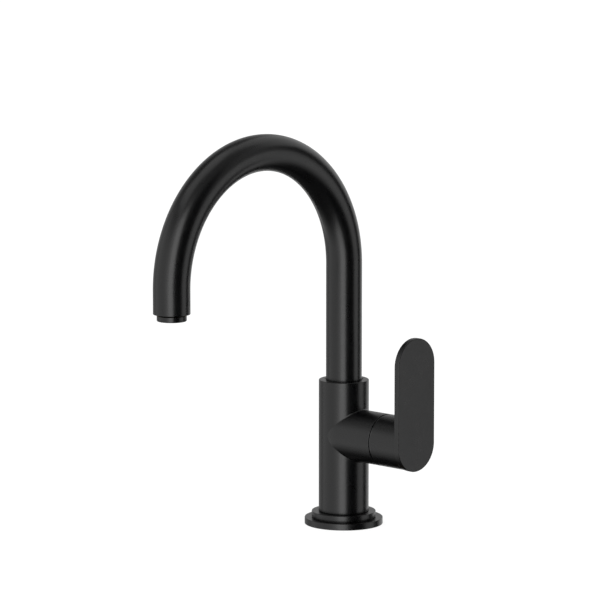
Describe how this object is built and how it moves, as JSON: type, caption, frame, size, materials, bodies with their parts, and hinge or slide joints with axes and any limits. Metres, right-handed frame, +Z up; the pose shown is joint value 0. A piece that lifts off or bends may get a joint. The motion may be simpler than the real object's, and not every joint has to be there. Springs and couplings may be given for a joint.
{
  "type": "bathroom sink faucet",
  "caption": "Deck-mounted basin faucet: round body on a stepped base, gooseneck spout that swivels, and a flat paddle lever on a side arm that tilts for flow and turns for heat.",
  "frame": {"origin": "centre of the base's underside, on the deck, on the axis of the upright body", "axes": "+Z up out of the deck; the spout points along -Y, towards the user; the side arm and lever are along +X"},
  "size_m": [0.0968, 0.2115, 0.3427],
  "materials": {
    "matte_black_paint": "matte black powder coat on brass",
    "brass": "machined, uncoated",
    "stainless_steel": "plain",
    "black_rubber": "matte rubber",
    "white_plastic": "acetal",
    "black_plastic": "acetal",
    "grey_plastic": "moulded",
    "red_plastic": "moulded",
    "ceramic": "lapped alumina"
  },
  "bodies": {
    "fixed_body": {"body": "matte_black_paint", "base_ring": "matte_black_paint", "deck_gasket": "black_rubber", "mounting_shank": "brass", "rubber_washer": "black_rubber", "clamp_washer": "stainless_steel", "lock_nut": "brass", "waterway_core": "brass", "core_o_ring": "black_rubber", "thrust_ring": "white_plastic", "bearing_ring": "black_plastic", "spout_lock_screw": "stainless_steel", "cartridge_base": "grey_plastic", "port_seals": "black_rubber", "fixed_disc": "ceramic", "cartridge_shell": "grey_plastic", "limit_ring": "red_plastic", "retaining_nut": "brass", "dome_ring": "matte_black_paint"},
    "spout": {"spout_tube": "matte_black_paint", "spout_shank": "brass", "spout_o_rings": "black_rubber", "outlet_insert": "brass", "aerator_housing": "matte_black_paint", "aerator_core": "grey_plastic", "aerator_screen": "stainless_steel", "aerator_gasket": "black_rubber"},
    "fork": {"rotator": "white_plastic", "rotator_o_ring": "black_rubber", "pivot_pin": "stainless_steel"},
    "disc": {"moving_disc": "ceramic", "disc_carrier": "grey_plastic"},
    "handle": {"lever": "matte_black_paint", "cartridge_stem": "stainless_steel", "lever_set_screw": "stainless_steel", "screw_plug": "black_rubber"}
  },
  "joints": [
    {"name": "spout_swivel", "type": "hinge", "parent": "fixed_body", "child": "spout", "pos_m": [0, 0, 0.094], "axis": [0, 0, 1], "range_deg": [-60, 60]},
    {"name": "lever_turn", "type": "hinge", "parent": "fixed_body", "child": "fork", "pos_m": [0.0306, 0, 0.065], "axis": [1, 0, 0], "range_deg": [-45, 45]},
    {"name": "lever_tilt", "type": "hinge", "parent": "fork", "child": "handle", "pos_m": [0.0306, 0, 0.065], "axis": [0, 1, 0], "range_deg": [0, 22]},
    {"name": "disc_slide", "type": "slide", "parent": "fork", "child": "disc", "axis": [0, 0, 1], "range_m": [0, 0.0042]}
  ],
  "couplings": [
    {"joint": "disc_slide", "follows": "lever_tilt", "m_per_rad": 0.0108}
  ]
}
